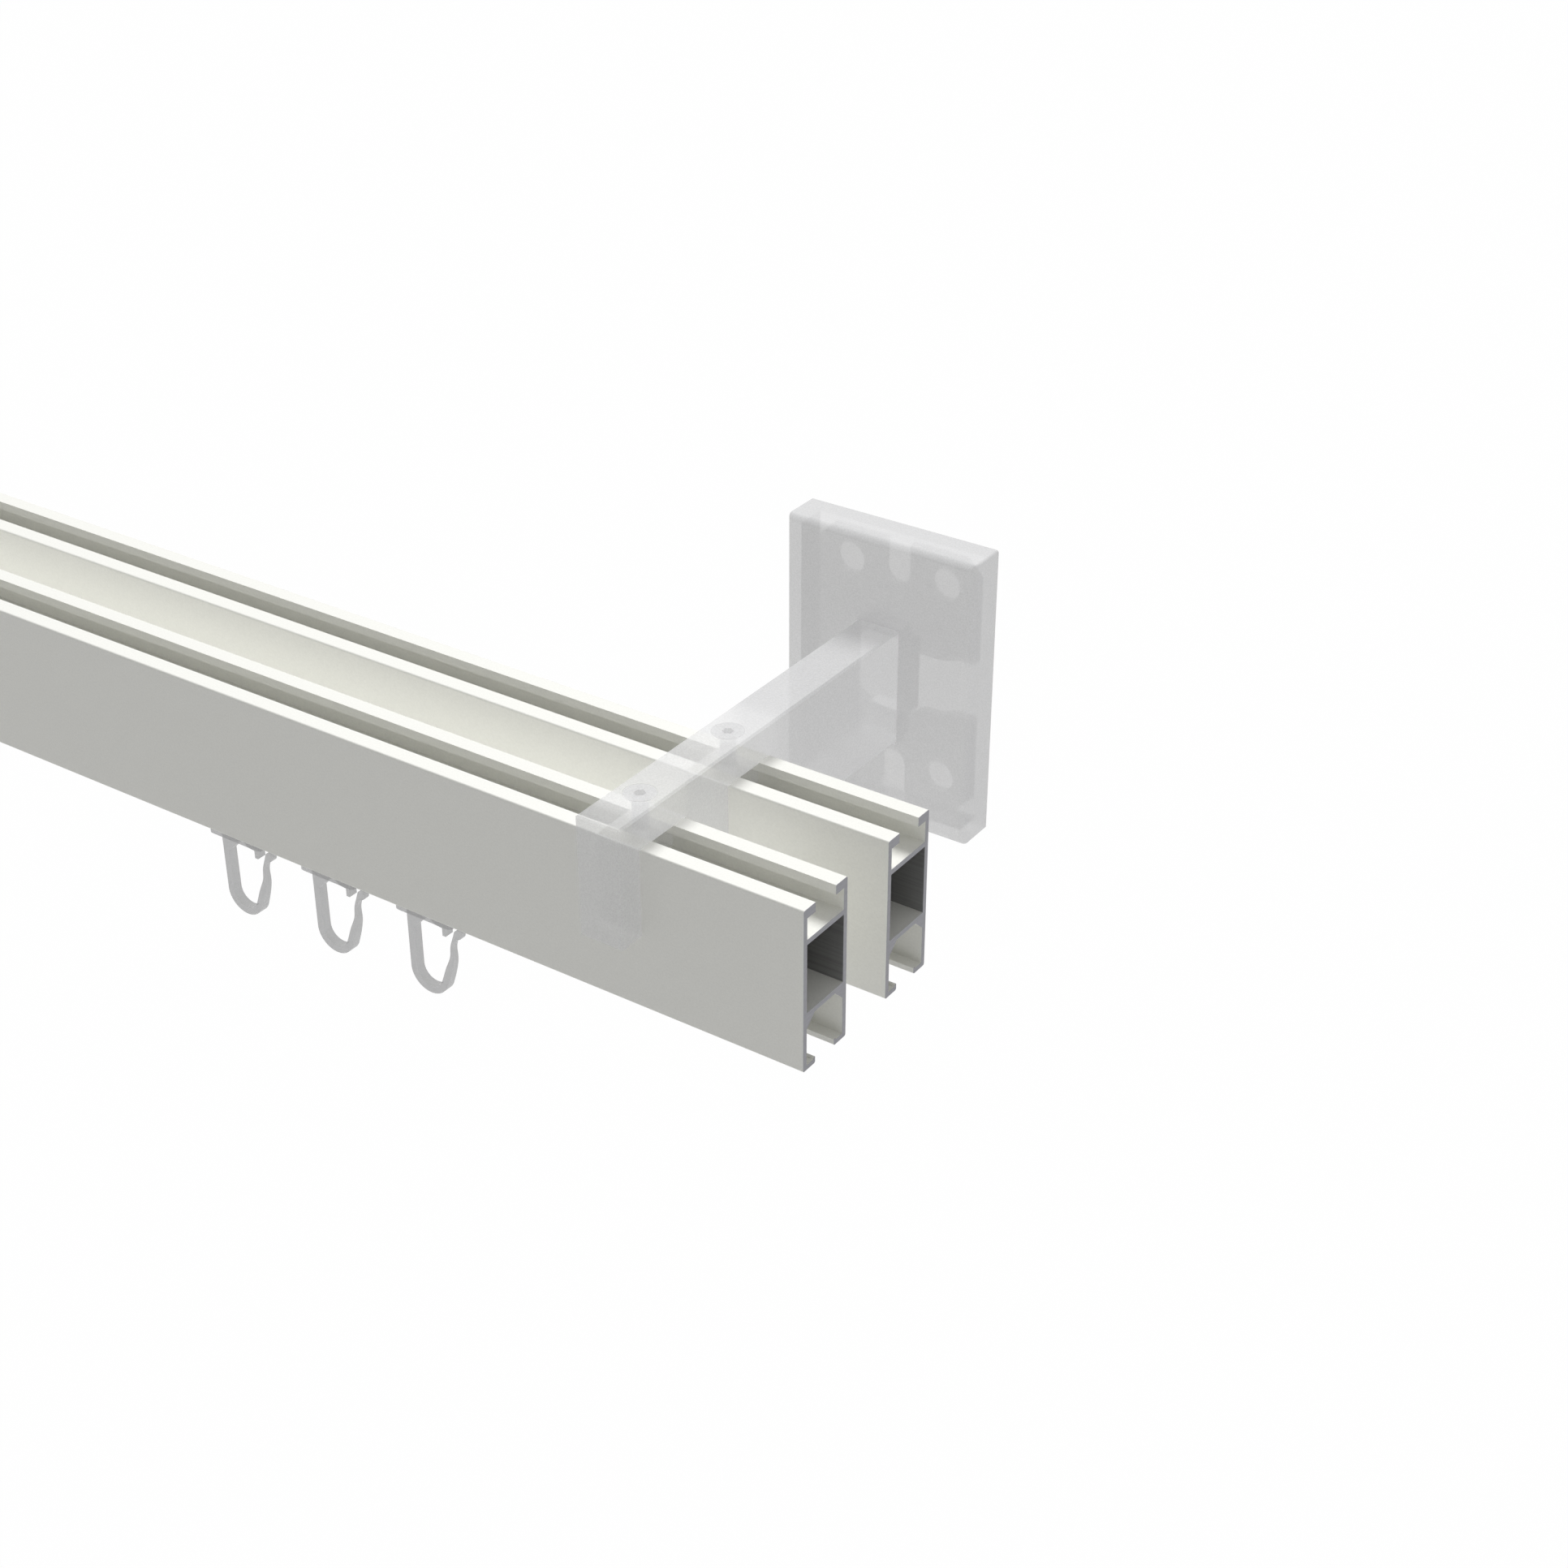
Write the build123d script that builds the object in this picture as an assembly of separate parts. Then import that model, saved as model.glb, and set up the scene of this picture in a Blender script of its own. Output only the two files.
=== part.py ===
from build123d import *
import os

# Double curtain track: two like extruded rails, carried by two comb-shaped bracket arms.
# The origin is the middle of the right bracket's screw holes, on the wall.
# +X runs along the rails to their right-hand end, +Y into the wall, +Z up. Millimetres.

# Rails
rail_length = 1000.0
rail_width = 14.0
rail_height = 35.0
rail_pitch = 27.75
rail_overhang = 40.8
rail_wall = 1.1
rail_corner = 0.4
top_lip_length = 3.7
top_lip_thickness = 2.0
top_channel_depth = 4.55
web_thickness = 1.1
hollow_height = 14.7
bottom_lip_thickness = 1.0
bottom_slot_width = 6.2
bead_width = 0.6
bead_height = 0.35
lip_edge_chamfer = 0.25
haunch_width = 2.6
haunch_height = 2.4

# Bracket arms
arm_width = 10.0
arm_height = 26.0
arm_above_rails = 7.0
arm_front_prong = 6.0
arm_edge = 0.4
notch_clearance = 0.1
tenon_height = 16.8
tenon_off_wall = 0.2
tenon_clearance = 0.25
wall_to_rear_rail = 55.0

# Plate covers
cover_width = 45.0
cover_height = 65.0
cover_depth = 9.25
cover_wall = 2.3
cover_front_round = 1.7
cover_corner = 0.6
cover_clearance = 0.3

# Wall plates, pressed from sheet, that fit inside the covers.
# The end slots and the side slot are open at the plate's edges.
plate_gap = 0.95
plate_thickness = 1.8
plate_corner = 3.5
boss_from_side = 2.45
boss_slope_width = 2.3
boss_rise = 2.1
boss_bend = 0.6
wall_hole_diameter = 7.0
wall_hole_from_side = 7.75
wall_hole_from_end = 6.75
end_slot_width = 6.2
end_slot_depth = 9.65
side_slot_height = 12.8

# Countersunk screws with a hexagon socket, and the nuts that slide in the rails' top channel
countersink_slope = 1.0
screw_tip_chamfer = 0.4
head_gap = 0.15
thread_gap = 0.05
rail_screw_diameter = 3.0
rail_screw_head = 6.3
rail_screw_length = 12.0
rail_screw_socket = 2.0
rail_screw_socket_depth = 1.1
nut_length = 6.0
nut_thickness = 4.0
nut_side_clearance = 0.2

# Gliders, one moulding each with its hook.
# Heights count up and down from the rail's underside, offsets along X from the glider's middle,
# angles in degrees from +X.
gliders_per_rail = 3
glider_pitch = 26.0
last_glider_from_end = 93.6
head_length = 11.0
head_width = 10.8
head_thickness = 2.2
head_corner = 2.4
bead_gap = 0.1
neck_diameter = 5.6
base_length = 15.0
base_width = 9.0
base_top = -0.6
base_bottom = -3.3
base_corner = 1.2
base_edge = 0.3
hook_depth = 2.2
hook_left = -7.3
hook_bottom = -23.75
hook_thickness = 1.6
hook_outer_radius = 4.95
spring_depth = 1.35
spring_slim_height = -13.0
spring_leaves_bend = -20.0
spring_outside = [(3.95, -15.4), (4.3, -12.8), (4.2, -11.0)]
spring_inside = [(3.5, -10.8), (3.3, -12.8), (2.2, -15.8)]
spring_bead = (5.75, -6.9)
spring_bead_radius = 1.0
spring_bead_from = -75.0
spring_bead_to = 165.0
lug_left = 2.05
lug_right = 2.9
lug_bottom = -8.1
lug_shoulder = -6.3
arch_crown = (-1.5, -4.6)
arch_foot = (0.2, -6.1)
arch_spring = -8.9

# Places worked out from the sizes above
rail_top = arm_height / 2 - arm_above_rails
rail_bottom = rail_top - rail_height
left_end_x = rail_overhang - rail_length
left_bracket_x = left_end_x + rail_overhang
rear_rail_y = -wall_to_rear_rail - rail_width / 2
front_rail_y = rear_rail_y - rail_pitch
arm_front_y = front_rail_y - rail_width / 2 - arm_front_prong
seat_y = -plate_thickness - boss_rise
plate_width = cover_width - 2 * (cover_wall + plate_gap)
plate_height = cover_height - 2 * (cover_wall + plate_gap)
boss_base_radius = plate_width / 2 - boss_from_side
boss_top_radius = boss_base_radius - boss_slope_width
tenon_corner = Vector(arm_width / 2, tenon_height / 2)
boss_hole_radius = tenon_corner.length + tenon_clearance
last_glider_x = rail_overhang - last_glider_from_end

# Local Z turned to stand out of the wall
out_of_wall = Rot(90, 0, 0)
on_base = (Align.CENTER, Align.CENTER, Align.MIN)
hung = (Align.CENTER, Align.CENTER, Align.MAX)


def rail_profile():
    """Section of a rail, centred across its width, with its top at height 0."""
    inner = rail_width / 2 - rail_wall
    top_slot = rail_width - 2 * top_lip_length
    slot_side = bottom_slot_width / 2
    hollow_top = -top_lip_thickness - top_channel_depth - web_thickness
    roof = hollow_top - hollow_height - web_thickness
    lip_top = -rail_height + bottom_lip_thickness
    bead_top = lip_top + bead_height
    top_middle = (Align.CENTER, Align.MAX)

    with BuildSketch() as section:
        Rectangle(rail_width, rail_height, align=top_middle)
        fillet(section.vertices(), rail_corner)
        Rectangle(top_slot, top_lip_thickness, align=top_middle, mode=Mode.SUBTRACT)
        with Locations((0, -top_lip_thickness)):
            Rectangle(2 * inner, top_channel_depth, align=top_middle, mode=Mode.SUBTRACT)
        with Locations((0, hollow_top)):
            Rectangle(2 * inner, hollow_height, align=top_middle, mode=Mode.SUBTRACT)
        with BuildLine():
            side = Polyline(
                (0, roof),
                (inner - haunch_width, roof),
                (inner, roof - haunch_height),
                (inner, lip_top),
                (slot_side + bead_width, lip_top),
                (slot_side + bead_width, bead_top),
                (slot_side, bead_top),
                (slot_side, -rail_height + lip_edge_chamfer),
                (slot_side + lip_edge_chamfer, -rail_height),
                (0, -rail_height),
            )
            mirror(side, about=Plane.YZ)
        make_face(mode=Mode.SUBTRACT)
    return section.sketch


def rail(middle_y):
    """One extrusion, lying along X."""
    plane = Plane(origin=(left_end_x, middle_y, rail_top), x_dir=(0, 1, 0), z_dir=(1, 0, 0))
    return extrude(plane * rail_profile(), rail_length)


def countersunk(diameter, head, length):
    """Shank and 90 degree head of a countersunk screw, or the hole for one, down from Z = 0."""
    cone_depth = countersink_slope * (head - diameter) / 2
    shank = Cylinder(diameter / 2, length, align=hung)
    return shank + Cone(diameter / 2, head / 2, cone_depth, align=hung)


def rail_screw():
    """Screw that draws a slide nut up against a rail's top lips, its flat head at Z = 0."""
    body = countersunk(rail_screw_diameter, rail_screw_head, rail_screw_length)
    tip = body.edges().sort_by(Axis.Z)[0]
    body = chamfer(tip, screw_tip_chamfer)
    socket = RegularPolygon(rail_screw_socket / 2, 6, major_radius=False, rotation=30)
    return body - extrude(socket, -rail_screw_socket_depth)


def slide_nut():
    """Square nut in the top channel, its top face at Z = 0 under the lips."""
    width = rail_width - 2 * rail_wall - 2 * nut_side_clearance
    block = Box(nut_length, width, nut_thickness, align=hung)
    return block - Cylinder(rail_screw_diameter / 2 + thread_gap, 3 * nut_thickness)


def bracket_arm():
    """Bar with two notches from below for the rails and a tenon for the plate's round hole."""
    length = seat_y - arm_front_y
    bar = Box(arm_width, length, arm_height, align=(Align.CENTER, Align.MAX, Align.CENTER))
    arm = Pos(0, seat_y, 0) * bar
    outer_edges = [edge for edge in arm.edges() if edge.center().Y < seat_y - arm_edge]
    arm = chamfer(outer_edges, arm_edge)

    notch_width = rail_width + 2 * notch_clearance
    notch = Box(2 * arm_width, notch_width, rail_top + arm_height, align=hung)
    screw_hole = countersunk(
        rail_screw_diameter + 2 * head_gap, rail_screw_head + 2 * head_gap, arm_height,
    )
    for rail_y in (front_rail_y, rear_rail_y):
        arm -= Pos(0, rail_y, rail_top) * notch
        arm -= Pos(0, rail_y, arm_height / 2) * screw_hole

    tenon_length = -seat_y - tenon_off_wall
    tenon_align = (Align.CENTER, Align.MIN, Align.CENTER)
    tenon = Box(arm_width, tenon_length, tenon_height, align=tenon_align)
    return arm + Pos(0, seat_y, 0) * tenon


def wall_plate():
    """Pressed sheet, flat on the wall, with a raised ring as the seat for the arm's end."""
    with BuildSketch() as blank:
        Rectangle(plate_width, plate_height)
        chamfer(blank.vertices(), plate_corner)
    sheet = extrude(blank.sketch, plate_thickness)

    seat_height = plate_thickness + boss_rise
    boss = Cone(boss_base_radius, boss_top_radius, boss_rise, align=on_base)
    plate = sheet + Pos(0, 0, plate_thickness) * boss
    bends = plate.edges().filter_by(GeomType.CIRCLE)
    plate = chamfer(bends, boss_bend)
    side_shift = plate_thickness * boss_rise / (2 * boss_slope_width)
    hollow = Cone(
        boss_base_radius - side_shift, boss_top_radius - side_shift, boss_rise, align=on_base,
    )
    plate -= hollow

    cut = 3 * seat_height
    plate -= Cylinder(boss_hole_radius, cut)
    side_slot = Box(plate_width, side_slot_height, cut)
    plate -= Pos(plate_width / 2, 0, 0) * side_slot
    slot_shape = SlotOverall(2 * end_slot_depth, end_slot_width, rotation=90)
    end_slot = Pos(0, 0, -cut / 2) * extrude(slot_shape, cut)
    for side in (-1, 1):
        plate -= Pos(0, side * plate_height / 2, 0) * end_slot
    holes = GridLocations(
        plate_width - 2 * wall_hole_from_side, plate_height - 2 * wall_hole_from_end, 2, 2,
    )
    for place in holes:
        plate -= place * Cylinder(wall_hole_diameter / 2, cut)
    return out_of_wall * plate


def plate_cover():
    """Box that slides along the arm and hides the wall plate, open towards the wall."""
    shell = Box(cover_width, cover_height, cover_depth, align=on_base)
    shell = fillet(shell.edges().filter_by(Axis.Z), cover_corner)
    front_edges = shell.faces().sort_by(Axis.Z)[-1].edges()
    shell = fillet(front_edges, cover_front_round)
    inside = Box(
        cover_width - 2 * cover_wall,
        cover_height - 2 * cover_wall,
        2 * (cover_depth - cover_wall),
    )
    arm_opening = Box(
        arm_width + 2 * cover_clearance,
        arm_height + 2 * cover_clearance,
        3 * cover_depth,
    )
    return out_of_wall * (shell - inside - arm_opening)


def glider_top():
    """Head in the rail's channel, round neck in the slot, and the base under the rail."""
    head_bottom = bottom_lip_thickness + bead_height + bead_gap
    with BuildPart() as head:
        Box(head_length, head_width, head_thickness, align=on_base)
        fillet(head.edges().filter_by(Axis.Z), head_corner)
    with BuildPart() as base:
        Box(base_length, base_width, base_top - base_bottom, align=on_base)
        fillet(base.edges().filter_by(Axis.Z), base_corner)
        chamfer(base.faces().sort_by(Axis.Z)[0].edges(), base_edge)
    neck = Cylinder(neck_diameter / 2, head_bottom - base_top, align=on_base)
    top = Pos(0, 0, head_bottom) * head.part
    top += Pos(0, 0, base_top) * neck
    return top + Pos(0, 0, base_bottom) * base.part


def hook_leg():
    """Straight leg, the left half of the bend, and the lug beside the hook's mouth."""
    bend = (hook_left + hook_outer_radius, hook_bottom + hook_outer_radius)
    leg_inside = hook_left + hook_thickness
    root = base_bottom + base_edge
    with BuildSketch(Plane.XZ) as face:
        with BuildLine():
            Line((hook_left, root), (hook_left, bend[1]))
            CenterArc(bend, hook_outer_radius, 180, 90)
            Line((bend[0], hook_bottom), (bend[0], hook_bottom + hook_thickness))
            CenterArc(bend, hook_outer_radius - hook_thickness, 180, 90)
            Polyline(
                (leg_inside, bend[1]),
                (leg_inside, arch_spring),
                arch_crown,
                arch_foot,
                (lug_left, lug_shoulder),
                (lug_left, lug_bottom),
                (lug_right, lug_bottom),
                (lug_right, root),
                (hook_left, root),
            )
        make_face()
    return extrude(face.sketch, hook_depth / 2, both=True)


def hook_spring():
    """Right half of the bend and the springy arm with its bead, slimmer towards the bead."""
    bend = Vector(hook_left + hook_outer_radius, hook_bottom + hook_outer_radius)
    outer_radius = hook_outer_radius
    inner_radius = hook_outer_radius - hook_thickness
    sweep = 90 + spring_leaves_bend
    away = Vector(1, 0).rotate(Axis.Z, spring_leaves_bend)
    along = away.rotate(Axis.Z, 90)
    bead = Vector(*spring_bead)
    bead_start = Vector(1, 0).rotate(Axis.Z, spring_bead_from)
    bead_end = Vector(1, 0).rotate(Axis.Z, spring_bead_to)
    with BuildSketch(Plane.XZ) as face:
        with BuildLine():
            CenterArc(bend, outer_radius, 270, sweep)
            Spline(
                bend + away * outer_radius,
                *spring_outside,
                bead + bead_start * spring_bead_radius,
                tangents=(along, bead_start.rotate(Axis.Z, 90)),
            )
            CenterArc(
                bead, spring_bead_radius, spring_bead_from, spring_bead_to - spring_bead_from,
            )
            Spline(
                bead + bead_end * spring_bead_radius,
                *spring_inside,
                bend + away * inner_radius,
                tangents=(bead_end.rotate(Axis.Z, 90), along * -1),
            )
            CenterArc(bend, inner_radius, 270, sweep)
            Line((bend.X, hook_bottom), (bend.X, hook_bottom + hook_thickness))
        make_face()
    spring = extrude(face.sketch, hook_depth / 2, both=True)

    wide = hook_depth / 2
    slim = spring_depth / 2
    bend_top = hook_bottom + hook_thickness
    with BuildSketch(Plane.YZ) as taper:
        Polygon(
            (-wide, hook_bottom - 1),
            (wide, hook_bottom - 1),
            (wide, bend_top),
            (slim, spring_slim_height),
            (slim, 0),
            (-slim, 0),
            (-slim, spring_slim_height),
            (-wide, bend_top),
            align=None,
        )
    return spring & extrude(taper.sketch, 4 * hook_outer_radius, both=True)


def glider():
    """One moulding: head, neck, base, lug and open hook."""
    return glider_top() + hook_leg() + hook_spring()


def write(piece, node):
    export_step(piece, f"parts/{node}.step")


def write_bracket(side, x):
    """A bracket and all that goes with it, at one place along the rails."""
    write(Pos(x, 0, 0) * bracket_arm(), f"{side}_bracket_arm")
    write(Pos(x, 0, 0) * wall_plate(), f"{side}_wall_plate")
    write(Pos(x, 0, 0) * plate_cover(), f"{side}_plate_cover")
    for row, rail_y in (("front", front_rail_y), ("rear", rear_rail_y)):
        nut_top = rail_top - top_lip_thickness
        write(Pos(x, rail_y, arm_height / 2) * rail_screw(), f"{side}_{row}_rail_screw")
        write(Pos(x, rail_y, nut_top) * slide_nut(), f"{side}_{row}_slide_nut")


def main():
    os.makedirs("parts", exist_ok=True)
    write_bracket("right", 0)
    write_bracket("left", left_bracket_x)
    for row, rail_y in (("front", front_rail_y), ("rear", rear_rail_y)):
        write(rail(rail_y), f"{row}_rail")
        for number in range(1, gliders_per_rail + 1):
            x = last_glider_x - (gliders_per_rail - number) * glider_pitch
            write(Pos(x, rail_y, rail_bottom) * glider(), f"{row}_glider_{number}")


main()
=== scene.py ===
# %% [markdown]
# The track comes as solids that were built beforehand: two rails, two brackets with their
# plates and covers, screws, nuts and gliders. This file changes no shape. It adds a camera,
# light and finishes, because for a machined and extruded product the solids are already
# right, and what makes them look real is how they take the light.

import math

import bpy
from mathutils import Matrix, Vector


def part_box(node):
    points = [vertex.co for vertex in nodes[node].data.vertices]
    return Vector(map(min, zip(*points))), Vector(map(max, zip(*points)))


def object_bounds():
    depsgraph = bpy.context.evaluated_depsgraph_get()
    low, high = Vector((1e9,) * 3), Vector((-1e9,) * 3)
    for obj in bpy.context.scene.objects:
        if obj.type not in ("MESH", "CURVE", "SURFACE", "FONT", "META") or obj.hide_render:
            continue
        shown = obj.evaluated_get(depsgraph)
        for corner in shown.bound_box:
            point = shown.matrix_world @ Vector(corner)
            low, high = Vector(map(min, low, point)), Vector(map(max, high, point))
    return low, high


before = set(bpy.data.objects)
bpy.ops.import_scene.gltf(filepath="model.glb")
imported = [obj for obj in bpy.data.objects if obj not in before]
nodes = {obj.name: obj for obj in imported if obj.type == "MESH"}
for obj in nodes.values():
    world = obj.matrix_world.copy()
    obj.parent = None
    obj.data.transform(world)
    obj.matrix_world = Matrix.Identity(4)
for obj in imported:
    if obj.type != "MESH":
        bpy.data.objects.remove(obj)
cad_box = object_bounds()
print("solids loaded:", len(nodes))
print("track box in metres:", [tuple(round(v, 4) for v in corner) for corner in cad_box])

# %% [markdown]
# The camera. The picture is drawn from the right, in front of and a little above the rails,
# as through a slightly long lens. Its direction is kept as an azimuth and an elevation,
# because those two angles are easy to picture, and the lens is given in millimetres for a
# 36 mm sensor. The values come from a fit to the corners of the rails, arm and cover.

# %% Camera
camera_place = Vector((0.24836, -0.40758, 0.25321))
camera_azimuth = math.radians(34.265)
camera_elevation = math.radians(30.635)
camera_lens = 58.97

towards_camera = Vector((
    math.sin(camera_azimuth) * math.cos(camera_elevation),
    -math.cos(camera_azimuth) * math.cos(camera_elevation),
    math.sin(camera_elevation),
))
camera_data = bpy.data.cameras.new("camera")
camera_data.lens = camera_lens
camera_data.sensor_width = 36
camera_data.clip_start = 0.01
camera_data.clip_end = 50
camera = bpy.data.objects.new("camera", camera_data)
camera.location = camera_place
camera.rotation_mode = "QUATERNION"
camera.rotation_quaternion = (-towards_camera).to_track_quat("-Z", "Y")
bpy.context.scene.collection.objects.link(camera)
bpy.context.scene.camera = camera
bpy.context.scene.view_settings.view_transform = "Standard"
print("camera at", tuple(round(v, 3) for v in camera.location), "lens", camera_lens)

# %% [markdown]
# Materials are graphs of nodes. Every finish below starts from the same few steps: make a
# material, add nodes to it and join their sockets. A few small helpers keep that short, so
# that each finish reads as a recipe.

# %% Helpers for finishes
mm = 0.001


def new_finish(name):
    """A material with its shader, and its graph to add to."""
    material = bpy.data.materials.new(name)
    material.use_nodes = True
    tree = material.node_tree
    shader = tree.nodes["Principled BSDF"]
    return material, tree, shader


def add(tree, kind, settings=None, **values):
    """Adds a node, sets its properties, then sets or links its inputs by name."""
    node = tree.nodes.new("ShaderNode" + kind)
    for key, value in (settings or {}).items():
        setattr(node, key, value)
    for key, value in values.items():
        number = key[1:]
        socket = node.inputs[int(number) if number.isdigit() else key.replace("_", " ")]
        if isinstance(value, bpy.types.NodeSocket):
            tree.links.new(value, socket)
        else:
            socket.default_value = value
    return node


def seen_directly(tree):
    """1 for rays from the camera, from a reflection or through a clear piece, else 0."""
    rays = add(tree, "LightPath")
    seen = add(tree, "Math", {"operation": "MAXIMUM"}, _0=rays.outputs["Is Camera Ray"],
               _1=rays.outputs["Is Glossy Ray"])
    seen = add(tree, "Math", {"operation": "MAXIMUM"}, _0=seen.outputs[0],
               _1=rays.outputs["Is Transmission Ray"])
    return seen.outputs[0]


def ramp(tree, value, dark, light, low=0.0, high=1.0):
    """Turns a value between low and high into a colour between dark and light."""
    node = add(tree, "ValToRGB", None, Fac=value)
    first, last = node.color_ramp.elements
    first.position = low
    last.position = high
    first.color = (*dark, 1)
    last.color = (*light, 1)
    return node.outputs[0]


def coat(object_names, material):
    """Gives a finish to solids of the track."""
    for name in object_names:
        slots = nodes[name].data.materials
        slots.clear()
        slots.append(material)
    print(material.name, "on", len(object_names), "solids")


# %% [markdown]
# Light. The tops of the rails are nearly white and their upright faces mid grey, so most of
# the light falls from above and behind, and an even, dimmer light comes from all around. A
# sun lamp with a wide angle gives the first with soft shadows, and the world the second.
# The background is plain white only where the camera, a reflection or a clear piece looks
# at it. Everything else gets the dimmer, even light.

# %% Light
even_light = 0.42
sky_light = 2.4
sun_direction = Vector((-0.3, 0.45, 0.84))

world = bpy.data.worlds.new("studio")
bpy.context.scene.world = world
world.use_nodes = True
sky = world.node_tree
sky.nodes.clear()
strength = add(sky, "MapRange", None, Value=seen_directly(sky), To_Min=even_light,
               To_Max=1.0)
background = add(sky, "Background", None, Color=(1, 1, 1, 1), Strength=strength.outputs[0])
add(sky, "OutputWorld", None, Surface=background.outputs[0])

sun_data = bpy.data.lights.new("sun", "SUN")
sun_data.energy = sky_light
sun_data.angle = math.radians(25)
sun = bpy.data.objects.new("sun", sun_data)
sun.rotation_mode = "QUATERNION"
sun.rotation_quaternion = sun_direction.to_track_quat("Z", "Y")
bpy.context.scene.collection.objects.link(sun)
print("even light", even_light, "sun", sky_light)

# %% [markdown]
# In the drawing the rear rail's front face is brighter than the front rail's, although it
# stands in a narrow gap, and the light above leaves it too dark. A weak rectangular lamp on
# the back of the front rail makes up the difference. Its strength is fitted to the picture
# and stands for nothing on the product, and the camera doesn't see the lamp itself.

# %% Light between the rails
gap_light = 0.03
lamp_length_share = 0.96
lamp_height_share = 0.75
lamp_off_rail = 0.0003
lamp_lift = 0.003

front_low, front_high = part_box("front_rail")
rear_low, rear_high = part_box("rear_rail")
gap_data = bpy.data.lights.new("gap_lamp", "AREA")
gap_data.shape = "RECTANGLE"
gap_data.size = lamp_length_share * (front_high.x - front_low.x)
gap_data.size_y = lamp_height_share * (front_high.z - front_low.z)
gap_data.energy = gap_light
gap_lamp = bpy.data.objects.new("gap_lamp", gap_data)
gap_lamp.location = (front_low + front_high) / 2
gap_lamp.location.y = front_high.y + lamp_off_rail
gap_lamp.location.z += lamp_lift
gap_lamp.rotation_euler = (math.radians(90), 0, 0)
gap_lamp.visible_camera = False
gap_lamp.visible_glossy = False
bpy.context.scene.collection.objects.link(gap_lamp)
print("gap lamp in watts", gap_light, "size", round(gap_data.size, 3),
      round(gap_data.size_y, 3))

# %% [markdown]
# The floor. The track hangs on a wall, so the floor lies far below it and only catches a
# faint, wide shadow. A plane is enough. Its finish is a plain pale surface, and for the
# camera it is mixed with white light, which keeps the picture's ground as clean as paper.

# %% Floor
floor_drop = 1.2
floor_size = 12.0
paper_share = 0.985

bpy.ops.mesh.primitive_plane_add(size=floor_size, location=(0, 0, cad_box[0].z - floor_drop))
floor = bpy.context.object
floor.name = "floor"
paper, tree, shader = new_finish("floor_paper")
shader.inputs["Base Color"].default_value = (0.62, 0.62, 0.62, 1)
shader.inputs["Roughness"].default_value = 0.9
share = add(tree, "Math", {"operation": "MULTIPLY"}, _0=seen_directly(tree),
            _1=paper_share)
white = add(tree, "Emission", None, Color=(1, 1, 1, 1), Strength=1.0)
blend = add(tree, "MixShader", None, _0=share.outputs[0], _1=shader.outputs[0],
            _2=white.outputs[0])
tree.links.new(blend.outputs[0], tree.nodes["Material Output"].inputs["Surface"])
floor.data.materials.append(paper)
print("floor at", round(floor.location.z, 3))

# %% [markdown]
# The rails are powder coated in a warm white. Powder melts into a skin that is never quite
# flat, so the finish has two grains: a fine one in the colour, and a wider one, about a
# millimetre across, that only tilts the surface. The coat stops where the bar was sawn, so
# the ends show bare metal, and so does the closed hollow, which the powder never reaches.
# Both places are found from the rail's own box, so no faces have to be picked by hand.
# This first cell only finds them, as masks that are 1 on bare metal and 0 on the coat.

# %% Where the coat stops
hollow_top = 7.65 * mm
hollow_bottom = 22.35 * mm
hollow_half_width = 5.95 * mm
end_skin = 0.02 * mm


def between(tree, value, low, high):
    """1 where low < value < high, else 0."""
    above = add(tree, "Math", {"operation": "GREATER_THAN"}, _0=value, _1=low)
    below = add(tree, "Math", {"operation": "LESS_THAN"}, _0=value, _1=high)
    both = add(tree, "Math", {"operation": "MULTIPLY"}, _0=above.outputs[0], _1=below.outputs[0])
    return both.outputs[0]


def bare_places(tree, place, rail_name):
    """Masks for the sawn ends and for the hollow of a rail."""
    low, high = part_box(rail_name)
    middle_y = (low.y + high.y) / 2
    x, y, z = add(tree, "SeparateXYZ", None, Vector=place).outputs
    middle_part = between(tree, x, low.x + end_skin, high.x - end_skin)
    bare_end = add(tree, "Math", {"operation": "SUBTRACT"}, _0=1.0, _1=middle_part).outputs[0]
    across = between(tree, y, middle_y - hollow_half_width, middle_y + hollow_half_width)
    upright = between(tree, z, high.z - hollow_bottom, high.z - hollow_top)
    hollow = add(tree, "Math", {"operation": "MULTIPLY"}, _0=across, _1=upright).outputs[0]
    return bare_end, hollow


print("hollow from", round(hollow_top / mm, 2), "to", round(hollow_bottom / mm, 2),
      "mm below a rail's top")

# %% [markdown]
# The coat itself. Noise textures stand for the speckled colour, the saw's slanting marks and
# the lines that the die draws along the hollow. Each is turned into a colour by a ramp, and
# the masks choose between the three. Scales are in steps per metre, so a scale of 2500 gives
# specks of less than half a millimetre, as on real powder coat.

# %% Powder coat with bare ends
coat_dark, coat_light = (0.815, 0.815, 0.773), (0.86, 0.86, 0.816)
sawn_dark, sawn_light = (0.26, 0.26, 0.28), (0.40, 0.40, 0.43)
hollow_dark, hollow_light = (0.20, 0.20, 0.20), (0.40, 0.40, 0.40)
saw_slant = 0.35
bare_metallic = 0.6


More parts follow.
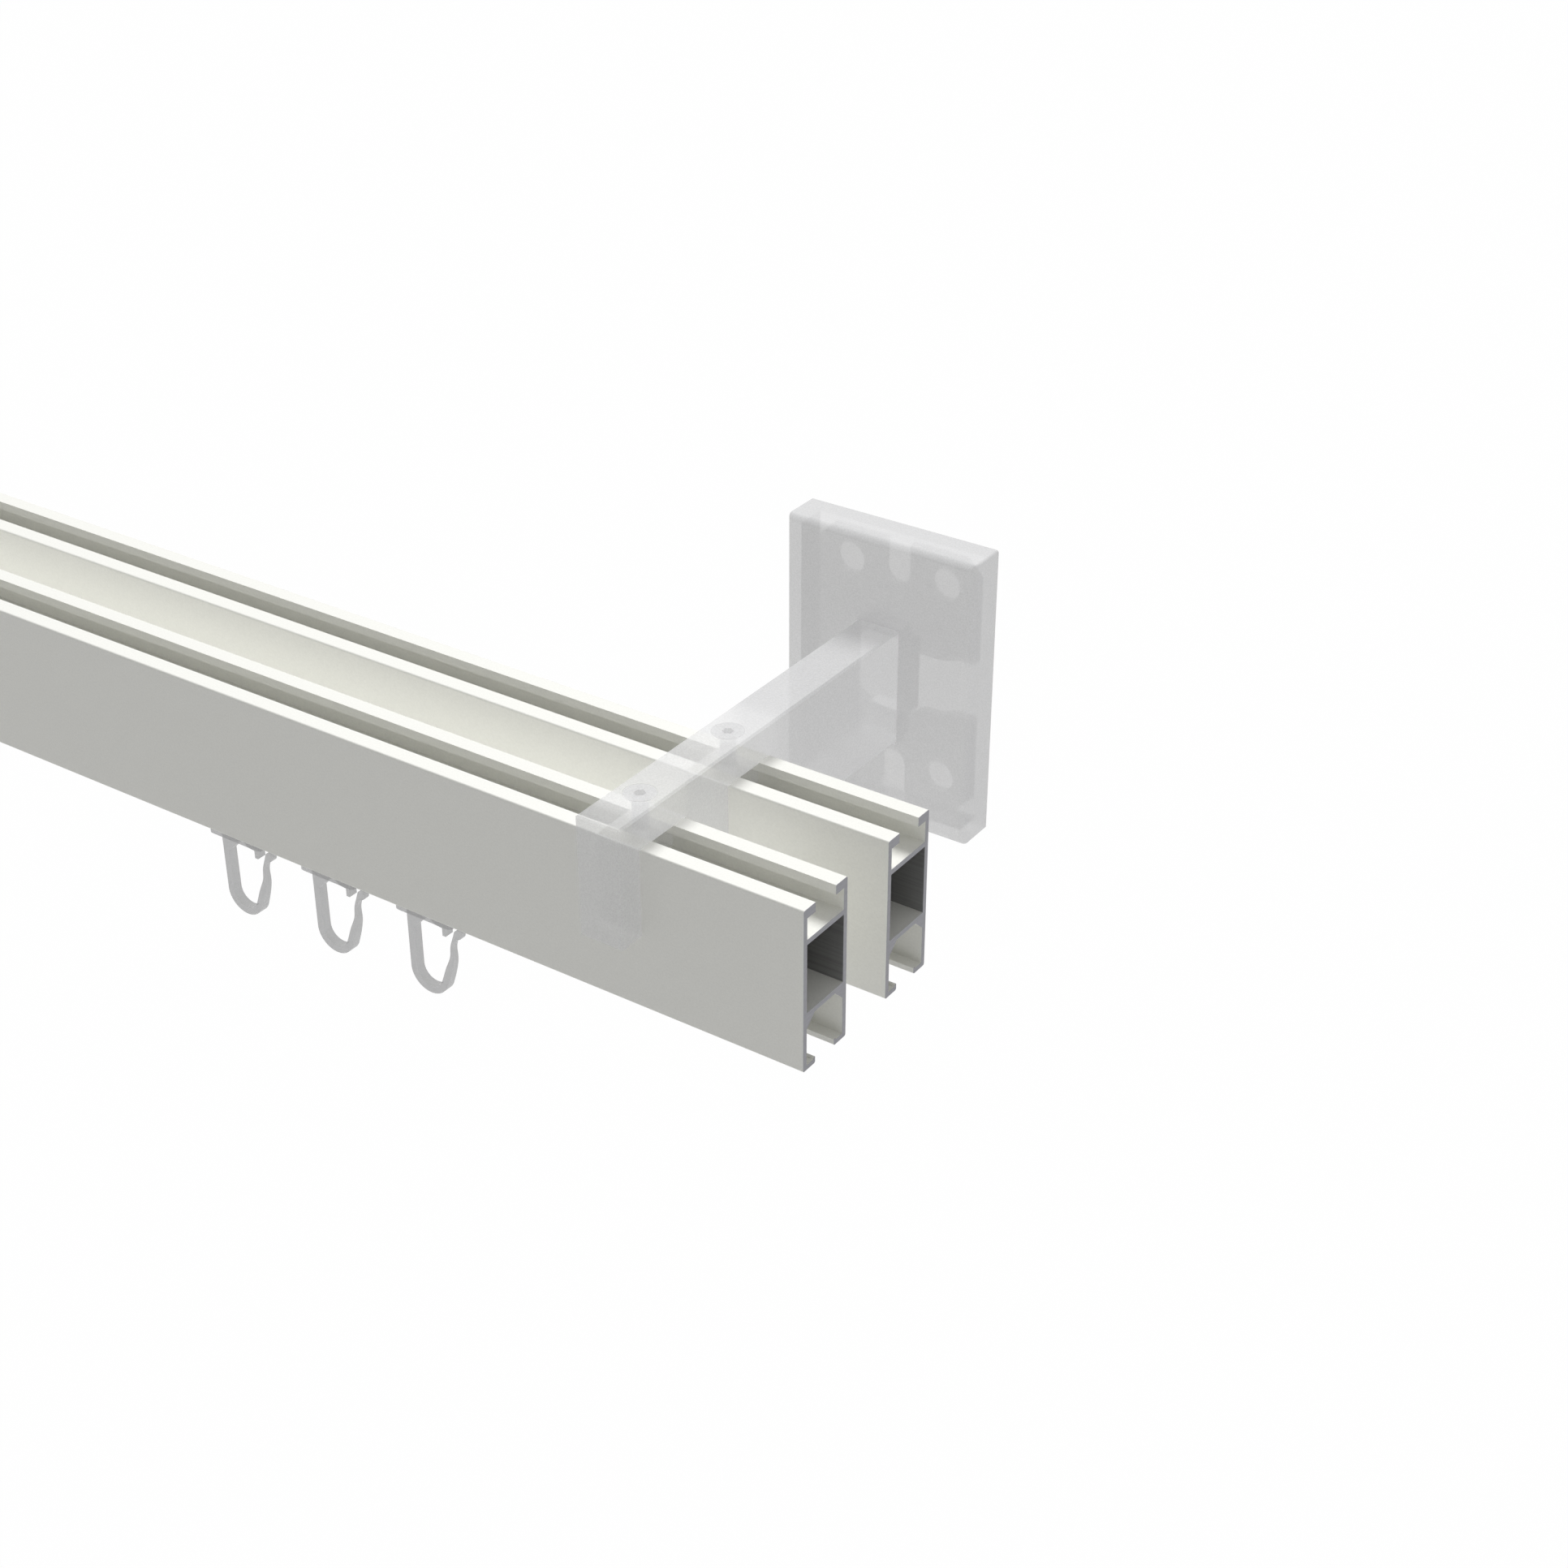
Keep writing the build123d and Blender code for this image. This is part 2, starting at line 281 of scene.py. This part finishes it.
def powder_coat(rail_name):
    """Warm white powder coat for one rail."""
    material, tree, shader = new_finish(rail_name + "_powder_coat")
    place = add(tree, "TexCoord").outputs["Object"]
    bare_end, hollow = bare_places(tree, place, rail_name)

    speck = add(tree, "TexNoise", None, Vector=place, Scale=2500.0, Detail=2.0)
    coat_colour = ramp(tree, speck.outputs["Fac"], coat_dark, coat_light, 0.3, 0.7)

    saw_place = add(tree, "Mapping", None, Vector=place, Rotation=(0.0, saw_slant, 0.0),
                    Scale=(1.0, 1.0, 12.0))
    saw_marks = add(tree, "TexNoise", None, Vector=saw_place.outputs[0], Scale=500.0, Detail=3.0)
    end_colour = ramp(tree, saw_marks.outputs["Fac"], sawn_dark, sawn_light)

    draw_place = add(tree, "Mapping", None, Vector=place, Scale=(0.01, 1.0, 1.0))
    draw_lines = add(tree, "TexNoise", None, Vector=draw_place.outputs[0], Scale=3000.0,
                     Detail=3.0)
    hollow_colour = ramp(tree, draw_lines.outputs["Fac"], hollow_dark, hollow_light)

    with_hollow = add(tree, "MixRGB", None, Fac=hollow, Color1=coat_colour,
                      Color2=hollow_colour)
    colour = add(tree, "MixRGB", None, Fac=bare_end, Color1=with_hollow.outputs[0],
                 Color2=end_colour)
    tree.links.new(colour.outputs[0], shader.inputs["Base Color"])

    bare = add(tree, "Math", {"operation": "MAXIMUM"}, _0=bare_end, _1=hollow).outputs[0]
    metal = add(tree, "Math", {"operation": "MULTIPLY"}, _0=bare, _1=bare_metallic)
    tree.links.new(metal.outputs[0], shader.inputs["Metallic"])
    sheen = add(tree, "MapRange", None, Value=speck.outputs["Fac"], To_Min=0.42, To_Max=0.52)
    tree.links.new(sheen.outputs[0], shader.inputs["Roughness"])

    skin = add(tree, "TexNoise", None, Vector=place, Scale=900.0, Detail=1.0)
    coat_bump = add(tree, "Bump", None, Height=skin.outputs["Fac"], Strength=0.04,
                    Distance=0.0001)
    saw_bump = add(tree, "Bump", None, Height=saw_marks.outputs["Fac"], Distance=0.00005,
                   Strength=bare_end, Normal=coat_bump.outputs[0])
    tree.links.new(saw_bump.outputs[0], shader.inputs["Normal"])
    return material


for rail_name in ("front_rail", "rear_rail"):
    coat([rail_name], powder_coat(rail_name))

# %% [markdown]
# The brackets, covers, screws and gliders are drawn see-through, so that the shapes behind
# them show. Real frosted plastic bends the light that passes, but here everything behind
# stays sharp, so the surface is only thinned: its alpha lets a share of each ray go straight
# on. A fine grain keeps it from looking like tinted air. The light that suits the rails is
# low on upright faces, which leaves these pieces darker than the drawing shows them. So each
# finish also gives off a little light of its own, which is fitted to the picture and would
# look too bright in a dark room.

# %% Frosted see-through finishes
def frosted(name, grey, alpha, glow, roughness=0.5, grain_depth=0.04):
    """A pale see-through surface with a fine grain and a fitted glow."""
    material, tree, shader = new_finish(name)
    place = add(tree, "TexCoord").outputs["Object"]
    grain = add(tree, "TexNoise", None, Vector=place, Scale=3500.0, Detail=2.0)
    tone = ramp(tree, grain.outputs["Fac"], (0.93 * grey, 0.93 * grey, 0.94 * grey),
                (grey, grey, 1.01 * grey), 0.3, 0.7)
    tree.links.new(tone, shader.inputs["Base Color"])
    thinning = add(tree, "MapRange", None, Value=grain.outputs["Fac"], From_Min=0.3,
                   From_Max=0.7, To_Min=alpha - grain_depth, To_Max=alpha + grain_depth)
    tree.links.new(thinning.outputs[0], shader.inputs["Alpha"])
    bump = add(tree, "Bump", None, Height=grain.outputs["Fac"], Strength=0.05, Distance=0.0001)
    tree.links.new(bump.outputs[0], shader.inputs["Normal"])
    shader.inputs["Roughness"].default_value = roughness
    shader.inputs["IOR"].default_value = 1.3
    shader.inputs["Emission Color"].default_value = (1, 1, 1, 1)
    shader.inputs["Emission Strength"].default_value = glow
    return material


print("a frosted finish needs a grey, an alpha and a glow")

# %% [markdown]
# Now the recipe is used. The cover is a moulded cap that hides the plate, and the plate is
# the pressed sheet that is screwed to the wall. The countersunk screws clamp the arm to the
# rails through square nuts in their top channels. The gliders are small mouldings that run
# in the lower channels, smoother than the rest, so their grain is weaker.

# %% Covers, plates, screws, nuts and gliders
sides = ("right", "left")
rows = ("front", "rear")

cover_finish = frosted("plate_cover_frosted", grey=0.54, alpha=0.57, glow=0.185)
coat([f"{side}_plate_cover" for side in sides], cover_finish)

plate_finish = frosted("wall_plate_frosted", grey=0.45, alpha=0.32, glow=0.17)
coat([f"{side}_wall_plate" for side in sides], plate_finish)

screw_finish = frosted("screw_frosted", grey=0.6, alpha=0.45, glow=0.22, roughness=0.4)
coat([f"{side}_{row}_rail_screw" for side in sides for row in rows], screw_finish)

nut_finish = frosted("slide_nut_frosted", grey=0.5, alpha=0.15, glow=0.2)
coat([f"{side}_{row}_slide_nut" for side in sides for row in rows], nut_finish)

glider_finish = frosted("glider_frosted", grey=0.42, alpha=0.55, glow=0.11, roughness=0.4,
                        grain_depth=0.01)
coat([f"{row}_glider_{number}" for row in rows for number in (1, 2, 3)], glider_finish)

# %% [markdown]
# The arm starts from the same recipe, but the drawing shows it differently along its length.
# Behind the rails it is denser. Over them it is thinner, and its level faces are brightest; both
# are painted light, standing in for the light that the rails' bright tops throw into it.
# So its place along Y, found from the rails' own boxes, sets how dense it is and how much
# light it gives off, with soft steps between the parts. A denser arm would come nearer to
# the drawing's average grey, but would hide the plate's round hole behind its root, so the
# density was chosen.

# %% Bracket arms
arm_alpha = 0.66
alpha_share_over_rails = 0.65
front_glow = 0.19
side_glow = 0.055
top_glow_by_wall = -0.08
underside_glow_by_wall = 0.1
level_glow_over_rails = 0.135
step_length = 2 * mm
arm_low, arm_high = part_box("right_bracket_arm")

arm_finish = frosted("bracket_arm_frosted", grey=0.53, alpha=arm_alpha, glow=front_glow,
                     grain_depth=0.05)
tree = arm_finish.node_tree
shader = tree.nodes["Principled BSDF"]
place = add(tree, "TexCoord").outputs["Object"]
x, y, z = add(tree, "SeparateXYZ", None, Vector=place).outputs
past_front = add(tree, "MapRange", {"interpolation_type": "SMOOTHSTEP"}, Value=y,
                 From_Min=front_low.y - step_length, From_Max=front_low.y + step_length)
before_wall = add(tree, "MapRange", {"interpolation_type": "SMOOTHSTEP"}, Value=y,
                  From_Min=rear_high.y - step_length, From_Max=rear_high.y + 3 * step_length,
                  To_Min=1.0, To_Max=0.0)

# Painted light: the glow also follows the faces' slope and height, so that near the wall the
# arm's underside is lit more and its top less.
facing = add(tree, "SeparateXYZ", None, Vector=add(tree, "NewGeometry").outputs["Normal"])
level = add(tree, "Math", {"operation": "ABSOLUTE"}, _0=facing.outputs["Z"])
glow_by_wall = add(tree, "MapRange", None, Value=z, From_Min=arm_low.z, From_Max=arm_high.z,
                   To_Min=underside_glow_by_wall, To_Max=top_glow_by_wall)
level_glow = add(tree, "MapRange", None, Value=before_wall.outputs[0],
                 To_Min=glow_by_wall.outputs[0], To_Max=level_glow_over_rails)
level_glow = add(tree, "Math", {"operation": "MULTIPLY_ADD"}, _0=level.outputs[0],
                 _1=level_glow.outputs[0], _2=side_glow)
glow = add(tree, "Math", {"operation": "MULTIPLY_ADD"}, _0=past_front.outputs[0],
           _1=level_glow.outputs[0], _2=front_glow)
tree.links.new(glow.outputs[0], shader.inputs["Emission Strength"])

share = add(tree, "MapRange", None, Value=before_wall.outputs[0], To_Min=1.0,
            To_Max=alpha_share_over_rails)
dense = shader.inputs["Alpha"].links[0].from_socket
alpha = add(tree, "Math", {"operation": "MULTIPLY"}, _0=dense, _1=share.outputs[0])
tree.links.new(alpha.outputs[0], shader.inputs["Alpha"])
coat([f"{side}_bracket_arm" for side in sides], arm_finish)
print("arm alpha by the wall", arm_alpha, "over the rails",
      round(arm_alpha * alpha_share_over_rails, 3))

# %% [markdown]
# The last cell updates the scene and hands it over.

# %% Finish
bpy.context.view_layer.update()
